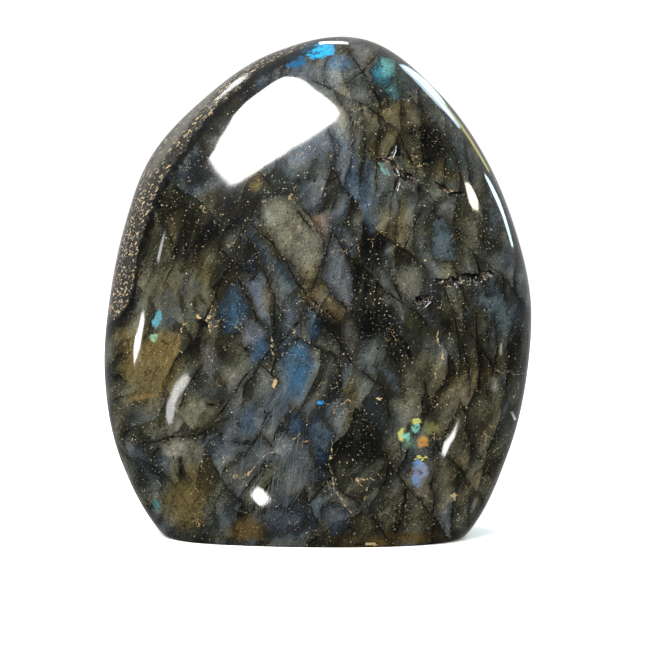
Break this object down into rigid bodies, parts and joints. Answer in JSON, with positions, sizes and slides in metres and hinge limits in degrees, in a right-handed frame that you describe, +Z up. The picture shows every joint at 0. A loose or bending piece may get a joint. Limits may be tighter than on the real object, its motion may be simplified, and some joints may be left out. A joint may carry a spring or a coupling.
{
  "type": "polished labradorite freeform",
  "caption": "Hand-sized polished stone with an arched outline, two domed faces and a flat sawn base that it stands on.",
  "frame": {"origin": "middle of the flat sawn base, under the middle of the stone's box", "axes": "+Z up the stone, +X to the right when the main face is looked at, +Y from the main face to the back"},
  "size_m": [0.0822, 0.0376, 0.0957],
  "materials": {
    "polished_stone": "polished"
  },
  "bodies": {
    "root": {"labradorite": "polished_stone"}
  },
  "joints": []
}
